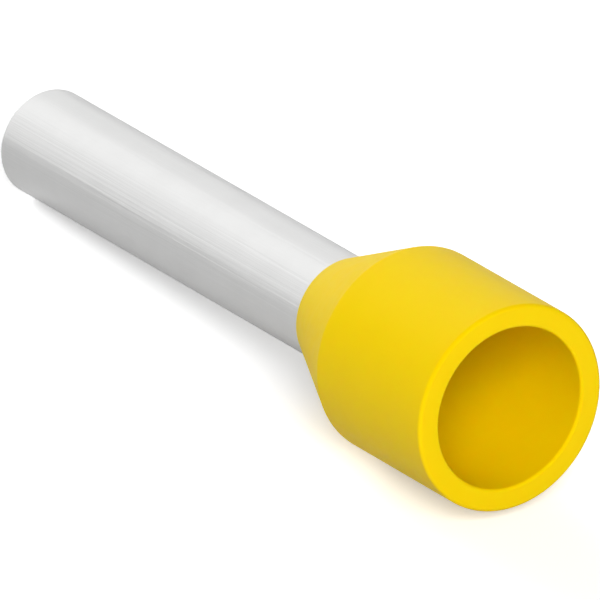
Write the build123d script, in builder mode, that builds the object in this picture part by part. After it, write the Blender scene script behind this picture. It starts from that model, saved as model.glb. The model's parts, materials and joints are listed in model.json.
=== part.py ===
from build123d import *
import os
from math import asin, atan2, cos, hypot, sin, tan

# Insulated wire ferrule with a long sleeve, for a stranded conductor of 6 square millimetres.
#
# It is made of two pieces. The sleeve is a thin tube of tinned copper, which takes the stripped strands
# and is crimped on them. The collar is a yellow plastic moulding, which takes the end of the wire's
# insulation. The sleeve's inner end is flared and sits in the matching funnel inside the collar, so
# that the collar can't come off over the tip and the strands find their way into the tube.
#
# Both pieces are turned shapes. Each section is drawn with x along the ferrule, from the tip of the
# sleeve to the mouth of the collar, and y out from the axis, and is revolved about the axis.
#
# All sizes are in millimetres. The ferrule lies as it comes to rest: the tip of the sleeve and the
# shoulder of the collar touch Z = 0, and the mouth points to +X, slightly upwards. The origin is on
# that surface, in the middle of the ferrule's length.

# Driving dimensions of the sleeve
sleeve_bore = 3.5
sleeve_wall = 0.2
sleeve_reach = 18.8  # bare sleeve, from its tip to the nose of the collar
tip_round = 0.08
rim_round = 0.05  # at the edge of the flare
rim_clearance = 0.1  # from the edge of the flare out to the collar's bore

# Driving dimensions of the collar
collar_diameter = 7.56
collar_bore = 5.9
barrel_length = 6.3  # straight outside, behind the mouth
cone_length = 3.9  # tapered outside, from the shoulder to the nose
nose_wall = 0.08
nose_round = 0.03
neck_length = 0.6  # from the nose to the corner where the sleeve starts to flare
neck_bend = 0.6  # radius of that corner, on the side of the collar
funnel_round = 0.25  # between the funnel and the bore
shoulder_round = 0.35
mouth_round = 0.15
lead_in_round = 0.12  # inner edge of the mouth

# The seam of the turned faces, in degrees round the axis from the top. The solids are the same for any
# value, but the facets of their meshes start from it. This one was found by trying: with it, the mesh
# lies still on a flat surface and doesn't roll from one facet to the next.
seam_angle = 135.6

# Radii out from the axis
sleeve_radius = sleeve_bore / 2 + sleeve_wall
nose_radius = sleeve_radius + nose_wall
barrel_radius = collar_diameter / 2
bore_radius = collar_bore / 2

# Places along the axis, from the tip. The funnel runs parallel to the cone outside.
shoulder_x = sleeve_reach + cone_length
mouth_x = shoulder_x + barrel_length
cone_angle = atan2(barrel_radius - nose_radius, cone_length)
flare_x = sleeve_reach + neck_length
funnel_x = flare_x + (bore_radius - sleeve_radius) / tan(cone_angle)


def resting_tilt():
    """Angle between the axis and the surface, on which the two rounded edges both rest.

    A line that touches two circles on the same side turns from the line between their centres by
    the arcsine of the difference of their radii over the distance of their centres.
    """
    run = shoulder_x + shoulder_round * tan(cone_angle / 2) - tip_round
    rise = (barrel_radius - shoulder_round) - (sleeve_radius - tip_round)
    return atan2(rise, run) + asin((shoulder_round - tip_round) / hypot(run, rise))


def resting_plane():
    """The plane of the sections, with its origin at the centre of the sleeve's tip."""
    tilt = resting_tilt()
    tip_z = (sleeve_radius - tip_round) * cos(tilt) + tip_round * (1 - sin(tilt))
    # The ends of the footprint are the upper edge of the tip and the lower edge of the mouth.
    back_x = tip_round * (cos(tilt) - 1) - (sleeve_radius - tip_round) * sin(tilt)
    front_x = (
        (mouth_x - mouth_round) * cos(tilt)
        + (barrel_radius - mouth_round) * sin(tilt)
        + mouth_round
    )
    return Plane(
        origin=(-(back_x + front_x) / 2, 0, tip_z),
        x_dir=(cos(tilt), 0, sin(tilt)),
        z_dir=(0, -1, 0),
    )


section_plane = Plane(resting_plane().location * Rotation(seam_angle, 0, 0))
ferrule_axis = Axis(section_plane.origin, section_plane.x_dir)

# The sleeve: its outside line, thickened inwards, so that the wall has one thickness, flare included
with BuildPart() as sleeve:
    with BuildSketch(section_plane) as sleeve_section:
        with BuildLine():
            flare_radius = bore_radius - rim_clearance
            FilletPolyline(
                (0, sleeve_radius),
                (flare_x, sleeve_radius),
                (funnel_x - rim_clearance / tan(cone_angle), flare_radius),
                radius=neck_bend,
            )
            offset(amount=sleeve_wall, side=Side.RIGHT)
        make_face()
        fillet(sleeve_section.vertices().sort_by(Axis.X)[:2], radius=tip_round)
        fillet(sleeve_section.vertices().sort_by(Axis.X)[-2:], radius=rim_round)
    revolve(axis=ferrule_axis)
sleeve.part.label = "metal_sleeve"

# The collar: its whole wall in one outline, from the neck round the outside and back through the bore
with BuildPart() as collar:
    with BuildSketch(section_plane) as collar_section:
        corners = {
            (sleeve_reach, sleeve_radius): 0,
            (sleeve_reach, nose_radius): nose_round,
            (shoulder_x, barrel_radius): shoulder_round,
            (mouth_x, barrel_radius): mouth_round,
            (mouth_x, bore_radius): lead_in_round,
            (funnel_x, bore_radius): funnel_round,
            (flare_x, sleeve_radius): neck_bend,
        }
        with BuildLine():
            FilletPolyline(*corners.keys(), radius=list(corners.values()), close=True)
        make_face()
    revolve(axis=ferrule_axis)
collar.part.label = "insulating_collar"

os.makedirs("parts", exist_ok=True)
for piece in (sleeve, collar):
    export_step(piece.part, f"parts/{piece.part.label}.step")
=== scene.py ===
# %% [markdown]
# # An insulated wire ferrule
#
# An electrician slides the stripped end of a stranded wire into this part and crimps the metal tube,
# so that loose strands can go under a screw as one firm pin. The real ferrule has two pieces: a thin
# tube of tinned copper, and a yellow moulded collar that takes the end of the wire's insulation.
#
# Both pieces come in as solids at their real size, and they are the fixed frame of the picture.
# This lesson lays a finer surface over each of them, gives it the finish of the real material, and
# sets up a small studio round it. Everything is in metres.

# %% Load the frame
import json
from math import atan2, ceil, cos, degrees, hypot, pi, radians, sin, tan

import bpy
import numpy as np
from mathutils import Matrix, Vector


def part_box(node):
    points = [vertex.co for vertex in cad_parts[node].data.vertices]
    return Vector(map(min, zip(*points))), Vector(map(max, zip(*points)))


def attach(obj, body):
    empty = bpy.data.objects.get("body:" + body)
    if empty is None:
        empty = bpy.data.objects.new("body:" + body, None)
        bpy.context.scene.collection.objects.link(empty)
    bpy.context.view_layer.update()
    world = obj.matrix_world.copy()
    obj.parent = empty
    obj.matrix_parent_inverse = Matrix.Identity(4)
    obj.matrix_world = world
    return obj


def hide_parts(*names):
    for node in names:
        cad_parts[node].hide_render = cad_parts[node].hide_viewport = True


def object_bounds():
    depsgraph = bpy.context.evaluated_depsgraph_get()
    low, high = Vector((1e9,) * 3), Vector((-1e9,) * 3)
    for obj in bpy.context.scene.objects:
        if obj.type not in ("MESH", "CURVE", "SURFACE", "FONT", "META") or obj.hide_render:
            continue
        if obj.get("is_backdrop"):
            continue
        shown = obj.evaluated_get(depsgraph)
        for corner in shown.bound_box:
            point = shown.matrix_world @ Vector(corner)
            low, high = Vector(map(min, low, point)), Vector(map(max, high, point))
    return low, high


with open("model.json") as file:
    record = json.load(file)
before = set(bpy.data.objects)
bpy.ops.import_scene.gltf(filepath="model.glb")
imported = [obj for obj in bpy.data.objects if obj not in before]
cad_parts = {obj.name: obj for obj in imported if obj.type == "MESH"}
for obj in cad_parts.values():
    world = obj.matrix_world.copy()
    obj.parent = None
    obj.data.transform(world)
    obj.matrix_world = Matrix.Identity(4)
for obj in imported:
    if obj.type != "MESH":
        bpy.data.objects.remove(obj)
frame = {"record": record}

MM = 0.001
cad_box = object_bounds()
print("solids reach from, to:", (np.array(cad_box) / MM).round(3).tolist(), "mm")

# %% [markdown]
# ## The ferrule's own directions
#
# The ferrule lies on its side. Its tip is thinner than its collar, so the axis rises a little towards
# the mouth. Everything on a turned part is easiest to say as a place along the axis and a distance
# out from it, so the first step is to find that axis. It could be typed in, but the record of the
# part states it already: each place where a wire or a pin fits has a position, a direction and a
# radius. Reading them keeps the picture true if the part changes.

# %% Find the axis, the tip and the fitting radii
fits = {mount["name"]: mount for mount in frame["record"]["mounts"]}
sleeve_radius = fits["terminal_pin"]["dims"]["r_mm"] * MM
sleeve_bore_radius = fits["conductor_bore"]["dims"]["r_mm"] * MM
collar_bore_radius = fits["wire_bore"]["dims"]["r_mm"] * MM

axis = np.array(fits["wire_bore"]["axis"])
across = np.array([0.0, 1.0, 0.0])
upright = np.cross(axis, across)
tilt = atan2(axis[2], axis[0])

TIP_ROUND = 0.08 * MM
tip = np.array(fits["terminal_pin"]["pos_m"]) - TIP_ROUND * axis
print(f"axis rises {degrees(tilt):.2f} degrees, tip at", (tip / MM).round(3), "mm")

# %% [markdown]
# ## An outline with rounded corners
#
# A moulding tool and a cut tube both leave small round edges, and these edges are what catches the
# light, so they have to be real geometry. A Bevel modifier could make them, but its width is hard to
# keep exact on a thin wall. Here each section is a closed chain of corners, and a corner of radius R
# is replaced by an arc: it starts R times the tangent of half the turn before the corner, and the
# outline's direction turns evenly along it. The direction at each point gives the normal as well, at
# right angles to it, so the shading is exact even where a long straight meets a tiny arc.

# %% Round the corners of an outline
LONGEST_STEP = 0.4 * MM
ARC_STEP = radians(12)


def left_of(heading):
    """Unit vectors at right angles to a direction of travel, on its left: (-sin, cos) of its angle."""
    return np.stack([-np.sin(heading), np.cos(heading)], axis=-1)


def rounded_outline(corners):
    """Points and normals of a closed outline through corners (along, out, radius), solid on its right.

    In each corner the heading h runs from the arriving to the leaving one, and the point is the arc's
    start + side * radius * (left(h at the start) - left(h)), where side is +1 for a left turn. The
    straights between the arcs are divided evenly. The normal is left(h) everywhere.
    """
    places = np.array([corner[:2] for corner in corners])
    radii = np.array([corner[2] for corner in corners])
    leaving = np.roll(places, -1, axis=0) - places
    heading_out = np.arctan2(leaving[:, 1], leaving[:, 0])
    heading_in = np.roll(heading_out, 1)
    turn = (heading_out - heading_in + pi) % (2 * pi) - pi
    trim = radii * np.tan(np.abs(turn) / 2)

    points, normals = [], []
    for i in range(len(corners)):
        share = np.linspace(0, 1, max(2, ceil(abs(turn[i]) / ARC_STEP)) + 1)
        left = left_of(heading_in[i] + turn[i] * share)
        start = places[i] - trim[i] * np.array([cos(heading_in[i]), sin(heading_in[i])])
        arc = start + np.sign(turn[i]) * radii[i] * (left[0] - left)

        after = (i + 1) % len(corners)
        forward = np.array([cos(heading_out[i]), sin(heading_out[i])])
        straight = places[after] - trim[after] * forward - arc[-1]
        parts = max(1, ceil(hypot(*straight) / LONGEST_STEP))
        share = np.arange(1, parts)[:, None] / parts
        points += [arc, arc[-1] + share * straight]
        normals += [left, np.repeat(left[-1:], parts - 1, axis=0)]
    return np.concatenate(points), np.concatenate(normals)


# %% [markdown]
# ## A turned surface
#
# A wheel's tyre, a vase and this ferrule are all one outline carried round an axis. Blender's Spin
# and its Screw modifier do that too, but they know nothing about the exact normals. So the grid is
# worked out directly: one direction of the grid follows the outline and the other goes round the
# axis. Both directions close on themselves, so the surface has neither a seam nor a pole.

# %% Carry an outline round the axis
AROUND = 240


def turned_piece(name, outline, outline_normals):
    """A new object: the outline (along, out) carried round the ferrule's axis.

    Vertex (i, j) = tip + along_i * axis + out_i * spoke_j, with spoke_j = cos(a_j) * across + sin(a_j)
    * upright, and its normal is made from the outline's normal in the same way.
    """
    angle = 2 * pi * np.arange(AROUND) / AROUND
    spoke = np.cos(angle)[:, None] * across + np.sin(angle)[:, None] * upright
    places = tip + outline[:, :1, None] * axis + outline[:, 1:, None] * spoke
    normals = outline_normals[:, :1, None] * axis + outline_normals[:, 1:, None] * spoke

    i, j = np.indices((len(outline), AROUND))
    next_i, next_j = (i + 1) % len(outline), (j + 1) % AROUND
    corners = [(i, j), (i, next_j), (next_i, next_j), (next_i, j)]
    faces = np.stack([a * AROUND + b for a, b in corners], axis=-1).reshape(-1, 4)

    mesh = bpy.data.meshes.new(name)
    mesh.from_pydata(places.reshape(-1, 3), [], faces)
    mesh.shade_smooth()
    mesh.normals_split_custom_set_from_vertices(normals.reshape(-1, 3).tolist())
    piece = bpy.data.objects.new(name, mesh)
    bpy.context.scene.collection.objects.link(piece)
    size = np.ptp(places.reshape(-1, 3), axis=0) / MM
    print(f"{name}: {2 * len(faces)} triangles, {size.round(3)} mm")
    return piece


# %% [markdown]
# ## The metal sleeve
#
# The real sleeve is cut from drawn tube with a wall of 0.2 mm. One end is cut square, and the other
# is flared, so that the collar can't slip off and the strands find their way in. The flare lies
# in the collar's funnel and runs parallel to the cone outside. Its wall is as thick as the tube's,
# which makes the inner bend larger than the outer one by exactly that thickness.

# %% Draw and turn the sleeve
COLLAR_RADIUS = 3.78 * MM
CONE_LENGTH = 3.9 * MM
NOSE_WALL = 0.08 * MM
SLEEVE_REACH = 18.8 * MM
NECK_LENGTH = 0.6 * MM
NECK_BEND = 0.6 * MM
RIM_CLEARANCE = 0.1 * MM
RIM_ROUND = 0.05 * MM

wall = sleeve_radius - sleeve_bore_radius
cone_angle = atan2(COLLAR_RADIUS - sleeve_radius - NOSE_WALL, CONE_LENGTH)
flare_start = SLEEVE_REACH + NECK_LENGTH
funnel_end = flare_start + (collar_bore_radius - sleeve_radius) / tan(cone_angle)
rim = np.array([funnel_end - RIM_CLEARANCE / tan(cone_angle), collar_bore_radius - RIM_CLEARANCE])
inner_rim = rim + wall * np.array([sin(cone_angle), -cos(cone_angle)])

sleeve_outline = rounded_outline([
    (0, sleeve_bore_radius, TIP_ROUND),
    (0, sleeve_radius, TIP_ROUND),
    (flare_start, sleeve_radius, NECK_BEND),
    (*rim, RIM_ROUND),
    (*inner_rim, RIM_ROUND),
    (flare_start + wall * tan(cone_angle / 2), sleeve_bore_radius, NECK_BEND + wall),
])
sleeve = turned_piece("tinned_sleeve", *sleeve_outline)

# %% [markdown]
# ## The insulating collar
#
# The collar is moulded in one shot round a steel core: a straight barrel, a cone down to the sleeve,
# and inside them the bore for the wire's insulation and the funnel. Its edges are rounder than the
# metal's, because a mould is never quite sharp. The mouth's inner edge is eased as well, so that
# the insulation slides in.

# %% Draw and turn the collar
BARREL_LENGTH = 6.3 * MM
NOSE_ROUND = 0.03 * MM
NOSE_LIP_ROUND = 0.005 * MM
SHOULDER_ROUND = 0.35 * MM
MOUTH_ROUND = 0.15 * MM
LEAD_IN_ROUND = 0.12 * MM
FUNNEL_ROUND = 0.25 * MM

shoulder = SLEEVE_REACH + CONE_LENGTH
mouth = shoulder + BARREL_LENGTH

collar_outline = rounded_outline([
    (SLEEVE_REACH, sleeve_radius, NOSE_LIP_ROUND),
    (SLEEVE_REACH, sleeve_radius + NOSE_WALL, NOSE_ROUND),
    (shoulder, COLLAR_RADIUS, SHOULDER_ROUND),
    (mouth, COLLAR_RADIUS, MOUTH_ROUND),
    (mouth, collar_bore_radius, LEAD_IN_ROUND),
    (funnel_end, collar_bore_radius, FUNNEL_ROUND),
    (flare_start, sleeve_radius, NECK_BEND),
])
collar = turned_piece("yellow_collar", *collar_outline)

# %% [markdown]
# ## Hand the solids over
#
# The new surfaces have the solids' form and stand in their place: the solids are hidden from the
# camera, but they still do the resting and touching. Each surface rides on the same body as its solid.

# %% Replace the solids
for piece, node, slot in (
    (sleeve, "metal_sleeve", "tinned_copper"),
    (collar, "insulating_collar", "yellow_plastic"),
):
    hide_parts(node)
    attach(piece, "root")
    low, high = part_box(node)
    print(f"{node}: solid is {(np.subtract(high, low) / MM).round(3)} mm")

# %% [markdown]
# ## Small helpers for materials
#
# A node tree is a list of nodes and the wires between them. Two short helpers keep the recipes below
# readable: one adds a node with its values and its wires, and the other starts a node group.

# %% Node helpers


def add_node(tree, kind, settings=None, **inputs):
    """A new node, with its settings, and the named inputs set to a value or wired to a socket."""
    node = tree.nodes.new(kind)
    for key, value in (settings or {}).items():
        setattr(node, key, value)
    for key, value in inputs.items():
        socket = node.inputs[int(key[1:]) if key[1:].isdigit() else key.replace("_", " ")]
        if isinstance(value, bpy.types.NodeSocket):
            tree.links.new(value, socket)
        else:
            socket.default_value = value
    return node


def new_group(name, inputs, outputs):
    """An empty shader node group with named inputs (name, type, value) and outputs (name, type)."""
    tree = bpy.data.node_groups.new(name, "ShaderNodeTree")
    for socket, kind, value in inputs:
        made = tree.interface.new_socket(socket, in_out="INPUT", socket_type=kind)
        if value is not None:
            made.default_value = value
    for socket, kind in outputs:
        tree.interface.new_socket(socket, in_out="OUTPUT", socket_type=kind)
    return tree, tree.nodes.new("NodeGroupInput").outputs, tree.nodes.new("NodeGroupOutput").inputs


# %% [markdown]
# ## Effect: a slightly uneven tone
#
# No real surface has one perfectly even colour. Pigment isn't mixed to the last grain, and a tin coat
# is a touch thicker here and there. Both materials use this group: soft noise makes the base colour
# a few percent lighter or darker.

# %% The group for uneven tone
tone_group, tone_in, tone_out = new_group(
    "uneven_tone",
    [
        ("Vector", "NodeSocketVector", None),
        ("Colour", "NodeSocketColor", (0.8, 0.8, 0.8, 1)),
        ("Patch Size", "NodeSocketFloat", 1 * MM),
        ("Amount", "NodeSocketFloat", 0.03),
    ],
    [("Colour", "NodeSocketColor")],
)
per_metre = add_node(
    tone_group, "ShaderNodeMath", {"operation": "DIVIDE"}, _0=1.0, _1=tone_in["Patch Size"],
)
patches = add_node(
    tone_group, "ShaderNodeTexNoise", None,
    Vector=tone_in["Vector"], Scale=per_metre.outputs[0], Detail=3.0, Roughness=0.55,
)
swing = add_node(
    tone_group, "ShaderNodeMath", {"operation": "MULTIPLY_ADD"},
    _0=patches.outputs["Fac"], _1=2.0, _2=-1.0,
)
value = add_node(
    tone_group, "ShaderNodeMath", {"operation": "MULTIPLY_ADD"},
    _0=swing.outputs[0], _1=tone_in["Amount"], _2=1.0,
)
toned = add_node(
    tone_group, "ShaderNodeHueSaturation", None, Color=tone_in["Colour"], Value=value.outputs[0],
)
tone_group.links.new(toned.outputs["Color"], tone_out["Colour"])
print("uneven_tone has", len(tone_group.nodes), "nodes")

# %% [markdown]
# ## Effect: fine grain
#
# Seen close, a plated tube and a moulded face are both covered in tiny bumps: crystals of tin on one,
# the print of the mould's steel on the other. The group mixes a fine and a coarse noise into one
# height. It also turns the coarse one into a roughness, because a shine is never quite even either.

# %% The group for fine grain
grain_group, grain_in, grain_out = new_group(
    "fine_grain",
    [
        ("Vector", "NodeSocketVector", None),
        ("Grain Size", "NodeSocketFloat", 0.05 * MM),
        ("Roughness", "NodeSocketFloat", 0.4),
        ("Variation", "NodeSocketFloat", 0.1),
    ],
    [("Height", "NodeSocketFloat"), ("Roughness", "NodeSocketFloat")],
)
COARSER = 6.0
fine_scale = add_node(
    grain_group, "ShaderNodeMath", {"operation": "DIVIDE"}, _0=1.0, _1=grain_in["Grain Size"],
)
coarse_scale = add_node(
    grain_group, "ShaderNodeMath", {"operation": "DIVIDE"}, _0=fine_scale.outputs[0], _1=COARSER,
)
fine = add_node(
    grain_group, "ShaderNodeTexNoise", None,
    Vector=grain_in["Vector"], Scale=fine_scale.outputs[0], Detail=2.0,
)
coarse = add_node(
    grain_group, "ShaderNodeTexNoise", None,
    Vector=grain_in["Vector"], Scale=coarse_scale.outputs[0], Detail=2.0,
)
height = add_node(
    grain_group, "ShaderNodeMath", {"operation": "ADD"},
    _0=fine.outputs["Fac"], _1=coarse.outputs["Fac"],
)
half_height = add_node(
    grain_group, "ShaderNodeMath", {"operation": "MULTIPLY"}, _0=height.outputs[0], _1=0.5,
)
off_middle = add_node(
    grain_group, "ShaderNodeMath", {"operation": "SUBTRACT"}, _0=coarse.outputs["Fac"], _1=0.5,
)
rough = add_node(
    grain_group, "ShaderNodeMath", {"operation": "MULTIPLY_ADD", "use_clamp": True},
    _0=off_middle.outputs[0], _1=grain_in["Variation"], _2=grain_in["Roughness"],
)
grain_group.links.new(half_height.outputs[0], grain_out["Height"])
grain_group.links.new(rough.outputs[0], grain_out["Roughness"])
print("fine_grain has", len(grain_group.nodes), "nodes")

# %% [markdown]
# ## Patterns that follow the ferrule
#
# Object coordinates are the piece's own metres, so a grain has its real size without any guessing.
# The ferrule lies at a slant in them, though. A Mapping node of the Texture type undoes that: it
# takes the tip to zero and turns the axis onto X, and streaks can then simply run along X.

# %% Coordinates along and out from the axis


def ferrule_coordinates(tree):
    """Object coordinates, with the tip at zero and X along the ferrule's axis, in metres."""
    place = add_node(tree, "ShaderNodeTexCoord")
    return add_node(
        tree, "ShaderNodeMapping", {"vector_type": "TEXTURE"},
        Vector=place.outputs["Object"], Location=tuple(tip), Rotation=(0, -tilt, 0),
    ).outputs["Vector"]


def new_material(name):
    """A material with an empty Principled shader: its tree, shader and ferrule coordinates."""
    material = bpy.data.materials.new(name)
    material.use_nodes = True
    tree = material.node_tree
    tree.nodes.clear()
    shader = tree.nodes.new("ShaderNodeBsdfPrincipled")
    output = tree.nodes.new("ShaderNodeOutputMaterial")
    tree.links.new(shader.outputs["BSDF"], output.inputs["Surface"])
    return material, tree, shader, ferrule_coordinates(tree)


# %% [markdown]
# ## Tinned copper
#
# The tube was pulled through a ring, which leaves faint straight lines along it, and was then plated
# with tin. Tin is a pale and slightly warm grey with a silky shine, never a mirror. The lines are
# noise that is stretched along the axis: its coordinates are divided by a long length along the tube
# and by a tenth of a millimetre across it. Anisotropic reflection would blur the light in the same
# direction, but bump lines also survive in a baked copy of the part.

# %% Make the tinned copper
TIN_COLOUR = (0.74, 0.74, 0.735, 1)
LINE_LENGTH = 9 * MM
LINE_WIDTH = 0.11 * MM

tin, tree, shader, place = new_material("tinned_copper")
tone = add_node(
    tree, "ShaderNodeGroup", {"node_tree": tone_group},
    Vector=place, Colour=TIN_COLOUR, Patch_Size=1.6 * MM, Amount=0.03,
)
grain = add_node(
    tree, "ShaderNodeGroup", {"node_tree": grain_group},
    Vector=place, Grain_Size=0.06 * MM, Roughness=0.34, Variation=0.1,
)
stretch = add_node(
    tree, "ShaderNodeVectorMath", {"operation": "DIVIDE"},
    _0=place, _1=(LINE_LENGTH, LINE_WIDTH, LINE_WIDTH),
)
lines = add_node(
    tree, "ShaderNodeTexNoise", None,
    Vector=stretch.outputs[0], Scale=1.0, Detail=3.0, Roughness=0.6,
)
grain_bump = add_node(
    tree, "ShaderNodeBump", None,
    Strength=0.3, Distance=0.003 * MM, Height=grain.outputs["Height"],
)
line_bump = add_node(
    tree, "ShaderNodeBump", None,
    Strength=0.8, Distance=0.02 * MM,
    Height=lines.outputs["Fac"], Normal=grain_bump.outputs["Normal"],
)
shader.inputs["Metallic"].default_value = 1.0
tree.links.new(tone.outputs["Colour"], shader.inputs["Base Color"])
tree.links.new(grain.outputs["Roughness"], shader.inputs["Roughness"])
tree.links.new(line_bump.outputs["Normal"], shader.inputs["Normal"])
sleeve.data.materials.append(tin)
print(tin.name, "has", len(tree.nodes), "nodes, and lines", round(LINE_WIDTH / MM, 2), "mm wide")

# %% [markdown]
# ## Yellow polypropylene
#
# The collar is a soft-looking plastic with a broad, gentle shine. Light goes a little way into it
# and comes out again, and red light gets further than green, so its shaded side turns warm instead
# of grey. That is subsurface scattering, with the depth set to a real fraction of a millimetre. The
# mould was turned on a lathe, and its faint rings show on the flat face of the mouth: they are noise
# that depends only on the distance from the axis.

# %% Make the yellow plastic
YELLOW = (0.92, 0.64, 0.0, 1)
RING_PITCH = 0.05 * MM

yellow, tree, shader, place = new_material("yellow_polypropylene")
tone = add_node(
    tree, "ShaderNodeGroup", {"node_tree": tone_group},
    Vector=place, Colour=YELLOW, Patch_Size=2.5 * MM, Amount=0.03,
)
grain = add_node(
    tree, "ShaderNodeGroup", {"node_tree": grain_group},
    Vector=place, Grain_Size=0.07 * MM, Roughness=0.44, Variation=0.15,
)
outwards = add_node(tree, "ShaderNodeVectorMath", {"operation": "MULTIPLY"}, _0=place, _1=(0, 1, 1))
distance = add_node(tree, "ShaderNodeVectorMath", {"operation": "LENGTH"}, _0=outwards.outputs[0])
rings = add_node(
    tree, "ShaderNodeTexNoise", {"noise_dimensions": "1D"},
    W=distance.outputs["Value"], Scale=1 / RING_PITCH, Detail=1.0,
)
grain_bump = add_node(
    tree, "ShaderNodeBump", None,
    Strength=0.5, Distance=0.006 * MM, Height=grain.outputs["Height"],
)
ring_bump = add_node(
    tree, "ShaderNodeBump", None,
    Strength=0.4, Distance=0.004 * MM,
    Height=rings.outputs["Fac"], Normal=grain_bump.outputs["Normal"],
)
shader.inputs["IOR"].default_value = 1.49
shader.inputs["Specular IOR Level"].default_value = 0.1
shader.inputs["Subsurface Weight"].default_value = 0.3
shader.inputs["Subsurface Radius"].default_value = (1.0, 0.35, 0.05)
shader.inputs["Subsurface Scale"].default_value = 0.3 * MM
tree.links.new(tone.outputs["Colour"], shader.inputs["Base Color"])
tree.links.new(grain.outputs["Roughness"], shader.inputs["Roughness"])
tree.links.new(ring_bump.outputs["Normal"], shader.inputs["Normal"])
collar.data.materials.append(yellow)
print(yellow.name, "has", len(tree.nodes), "nodes, and rings", round(RING_PITCH / MM, 2), "mm apart")

# %% [markdown]
# ## The floor
#
# The ferrule is so small that a sheet of white card under it reaches past the picture on all sides.
# Curved backdrops hide the edge of such a sheet. Here the flat card is simply far larger than the
# view, and the white room behind it has the same colour, so no edge shows.

# %% Lay the floor
FLOOR_HALF = 400 * MM

corners = FLOOR_HALF * np.array([(-1, -1, 0), (1, -1, 0), (1, 1, 0), (-1, 1, 0)], float)
floor_mesh = bpy.data.meshes.new("floor")
floor_mesh.from_pydata(corners, [], [(0, 1, 2, 3)])
floor = bpy.data.objects.new("floor", floor_mesh)
bpy.context.scene.collection.objects.link(floor)
floor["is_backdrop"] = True
print("floor is", round(2 * FLOOR_HALF, 2), "m wide")

# %% [markdown]
# ## White card
#
# A real card sends back about two thirds of the light. That lights the ferrule from below, as it
# should, but looks grey in a picture. More light would turn it white, and would bleach the ferrule as
# well. So the card answers each kind of ray in its own way, which the Light Path node tells apart.
# Soft light meets the real card. The camera meets pure white with some glow of its own. A reflection
# shows a card that is only slightly whiter than the real one, which keeps the tube's underside dark.
# The surface is matt for all of them, so the ferrule's shadow stays.

# %% Make the white card
CARD_WHITE = 0.65
CARD_IN_METAL = 0.1
CARD_LIFT = 0.36


def seen_directly(tree, in_metal=1.0):
    """1 for rays from the camera or through glass, in_metal for reflections, and 0 for the rest."""
    rays = tree.nodes.new("ShaderNodeLightPath").outputs
    reflected = add_node(
        tree, "ShaderNodeMath", {"operation": "MULTIPLY"}, _0=rays["Is Glossy Ray"], _1=in_metal,
    )
    first = add_node(
        tree, "ShaderNodeMath", {"operation": "MAXIMUM"},
        _0=rays["Is Camera Ray"], _1=reflected.outputs[0],
    )
    return add_node(
        tree, "ShaderNodeMath", {"operation": "MAXIMUM"},
        _0=first.outputs[0], _1=rays["Is Transmission Ray"],
    ).outputs[0]


card = bpy.data.materials.new("white_card")
card.use_nodes = True
tree = card.node_tree
tree.nodes.clear()
whiteness = add_node(
    tree, "ShaderNodeMapRange", None,
    Value=seen_directly(tree, CARD_IN_METAL), To_Min=CARD_WHITE, To_Max=1.0,
)
matt = add_node(tree, "ShaderNodeBsdfDiffuse", None, Color=whiteness.outputs[0])
lift = add_node(
    tree, "ShaderNodeMath", {"operation": "MULTIPLY"},
    _0=tree.nodes.new("ShaderNodeLightPath").outputs["Is Camera Ray"], _1=CARD_LIFT,
)
glow = add_node(tree, "ShaderNodeEmission", None, Strength=lift.outputs[0])
both = add_node(tree, "ShaderNodeAddShader", None, _0=matt.outputs[0], _1=glow.outputs[0])
output = tree.nodes.new("ShaderNodeOutputMaterial")
tree.links.new(both.outputs[0], output.inputs["Surface"])
floor.data.materials.append(card)
print("card sends back", CARD_WHITE, "of soft light, and glows by", CARD_LIFT, "for the camera")

# %% [markdown]
# ## The white room
#
# Without a room the metal would reflect nothing but black. The camera and shiny surfaces see this
# one as plain white, which gives the background and the broad pale reflection along the tube. As a
# light it is dim, because light that comes from everywhere would leave the ferrule without a shaded
# side.

# %% Fill the room with soft light
ROOM_LEVEL = 0.12

world = bpy.data.worlds.new("white_room")
bpy.context.scene.world = world
world.use_nodes = True
tree = world.node_tree
tree.nodes.clear()
strength = add_node(
    tree, "ShaderNodeMapRange", None,
    Value=seen_directly(tree), To_Min=ROOM_LEVEL, To_Max=1.0,
)
background = add_node(
    tree, "ShaderNodeBackground", None, Color=(1, 1, 1, 1), Strength=strength.outputs[0],
)
output = tree.nodes.new("ShaderNodeOutputWorld")
tree.links.new(background.outputs[0], output.inputs["Surface"])
print("room is 1.0 for the camera and", ROOM_LEVEL, "as a light")

# %% [markdown]
# ## The camera
#
# The ferrule is seen from 40 degrees off its axis, with the mouth to the lower right, and the axis
# runs down at 30 degrees in the picture. The camera isn't rolled, so those two angles are enough to
# say where it stands: its right is level, so the axis' share along it gives the azimuth, and the
# shares along its other two directions give the elevation. The picture's lines run parallel, and a
# very long lens from far away comes close to that. What is left is the aim: the point halfway along
# the axis has to fall on its own pixel.

# %% Place the camera
OFF_AXIS = radians(40)
SLOPE = radians(30)
FRAME_PIXELS = 600
PIXELS_PER_MM = 28.77
MIDDLE_PIXEL = np.array([275.6, 273.2])
LENS = 1500.0
SENSOR = 36.0

to_right = sin(OFF_AXIS) * cos(SLOPE)
downwards = sin(OFF_AXIS) * sin(SLOPE)
turn = np.arccos(to_right / axis[0])
rise = atan2(downwards, cos(OFF_AXIS)) + atan2(axis[2], axis[0] * sin(turn))
back = np.array([sin(turn) * cos(rise), -cos(turn) * cos(rise), sin(rise)])
right = np.array([cos(turn), sin(turn), 0.0])
up = np.cross(back, right)
print(f"camera azimuth {degrees(turn):.2f}, elevation {degrees(rise):.2f} degrees")

offset = (MIDDLE_PIXEL - FRAME_PIXELS / 2) / PIXELS_PER_MM * MM
target = tip + mouth / 2 * axis - offset[0] * right + offset[1] * up
reach = FRAME_PIXELS / PIXELS_PER_MM * MM * LENS / SENSOR

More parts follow.
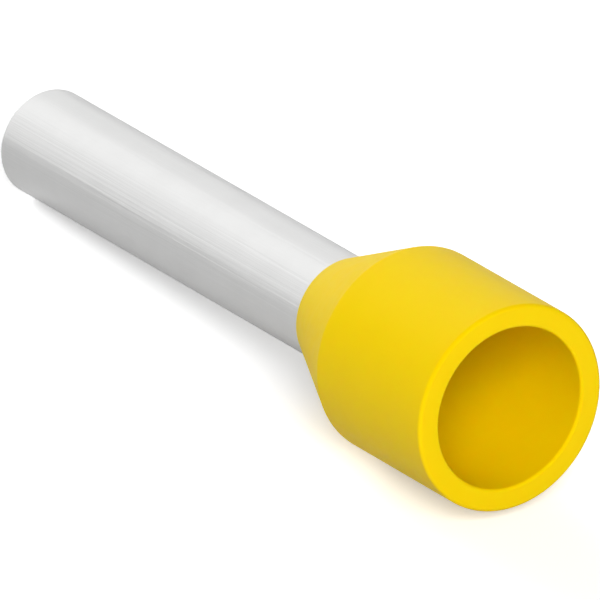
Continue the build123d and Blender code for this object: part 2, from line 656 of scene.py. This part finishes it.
camera_data = bpy.data.cameras.new("camera")
camera_data.lens = LENS
camera_data.sensor_width = SENSOR
camera_data.clip_start = 0.01
camera_data.clip_end = 10.0
camera = bpy.data.objects.new("camera", camera_data)
bpy.context.scene.collection.objects.link(camera)
camera.matrix_world = Matrix.Translation(Vector(target + reach * back)) @ Matrix(
    (right, up, back)
).transposed().to_4x4()
bpy.context.scene.camera = camera

# %% [markdown]
# ## Three soft boxes
#
# A soft box is a lamp behind a large white cloth, and Blender's square area light is just that. The
# main box hangs between camera and ferrule, a little above and to the right of the line of sight. A
# real one would be in the way, but the camera can't see this one. From there it lights all that is
# visible of the bore, and a lamp higher up would leave it a dark hole. The back box hangs above and
# behind the ferrule. It lights the upper side of the barrel and the cone, which are turned away from
# the camera, while the side below stays in shade. Metal would show these two as glaring stripes, so
# they make no highlights. The gleam box is far weaker than they are, and is there for the soft
# highlight along the tube.

# %% Hang the soft boxes
LAMP_DISTANCE = 0.45


def soft_box(name, side, power, direction, in_metal=True):
    """A square area light that looks at the ferrule from a direction, given along right, up and back.

    A lamp that isn't in_metal lights the surfaces but makes no highlight in them.
    """
    aim = np.array(direction) @ np.array([right, up, back])
    aim /= np.linalg.norm(aim)
    data = bpy.data.lights.new(name, "AREA")
    data.shape = "SQUARE"
    data.size = side
    data.energy = power
    light = bpy.data.objects.new(name, data)
    bpy.context.scene.collection.objects.link(light)
    light.visible_camera = False
    light.visible_glossy = in_metal
    light.location = LAMP_DISTANCE * aim
    light.rotation_mode = "QUATERNION"
    light.rotation_quaternion = Vector(aim).to_track_quat("Z", "Y")
    print(f"{name}: {power} W, at", light.location.to_tuple(3), "m")


soft_box("main_box", side=0.22, power=1.82, direction=(0.12, 0.08, 0.99), in_metal=False)
soft_box("back_box", side=0.4, power=2.05, direction=(-0.45, 0.75, -0.5), in_metal=False)
soft_box("gleam_box", side=0.3, power=0.06, direction=(-0.5, 0.8, -0.3))

# %% [markdown]
# ## Last settings
#
# The Standard view shows a colour as it is written. The finished pieces' box is compared with the
# solids' box, and the difference is printed.

# %% Print the size difference and finish
bpy.context.scene.view_settings.view_transform = "Standard"
visual_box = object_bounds()
difference = np.subtract(visual_box, cad_box) / MM
print("finished pieces differ from the solids by", difference.round(4).tolist(), "mm")
